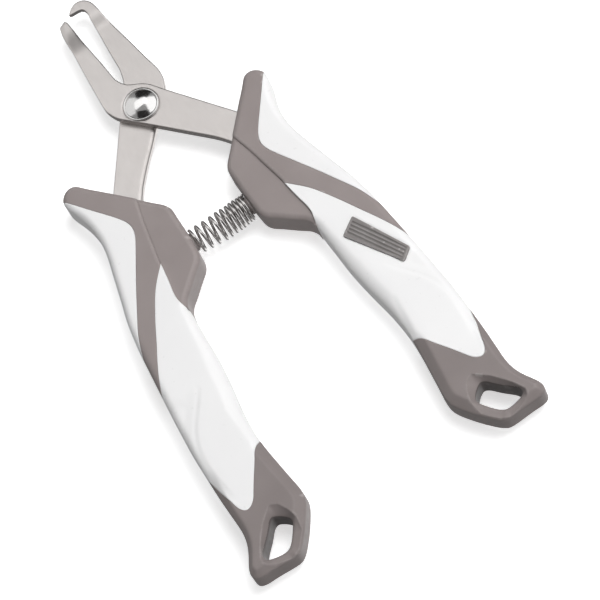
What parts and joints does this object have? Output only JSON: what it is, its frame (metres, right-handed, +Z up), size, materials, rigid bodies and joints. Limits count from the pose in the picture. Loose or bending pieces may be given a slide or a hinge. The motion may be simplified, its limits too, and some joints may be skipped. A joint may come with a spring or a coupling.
{
  "type": "fishing pliers",
  "caption": "Spring-opened angling pliers with thin crossing steel plates, a hooked jaw for opening split rings, and two-tone moulded handles with lanyard holes.",
  "frame": {"origin": "centre of the assembly's bounding box, on the plane the tool lies on", "axes": "+Y along the tool towards the jaws, +Z up out of the face with the rivet head, X across; the two handles are opened equally about the YZ plane"},
  "size_m": [0.0798, 0.1649, 0.0103],
  "materials": {
    "blade_steel": "fine satin, stamped edges",
    "polished_steel": "polished",
    "spring_wire": "bright drawn wire",
    "white_core": "satin gloss",
    "grey_grip": "matte soft moulding",
    "stud_plastic": "matte",
    "pin_steel": "turned",
    "badge": "ribbed blank plate"
  },
  "bodies": {
    "rear_half": {"rear_blade": "blade_steel", "pivot_rivet": "polished_steel", "head_washer": "polished_steel", "return_spring": "spring_wire", "left_core_front": "white_core", "left_core_rear": "white_core", "left_guard_grip": "grey_grip", "left_spring_pad": "grey_grip", "left_end_cap": "grey_grip", "left_spring_stud": "stud_plastic", "left_tang_pins": "pin_steel"},
    "front_half": {"front_blade": "blade_steel", "right_core_front": "white_core", "right_core_rear": "white_core", "right_guard_grip": "grey_grip", "right_spring_pad": "grey_grip", "right_end_cap": "grey_grip", "right_spring_stud": "stud_plastic", "right_tang_pins": "pin_steel", "badge_plate": "badge"}
  },
  "joints": [
    {"name": "squeeze", "type": "hinge", "parent": "rear_half", "child": "front_half", "pos_m": [0, 0.04476, 0.005], "axis": [0, 0, -1], "range_deg": [0, 8], "stiffness_Nm_per_rad": 1.95, "springref_deg": -1.15, "deforming": ["return_spring"]}
  ]
}
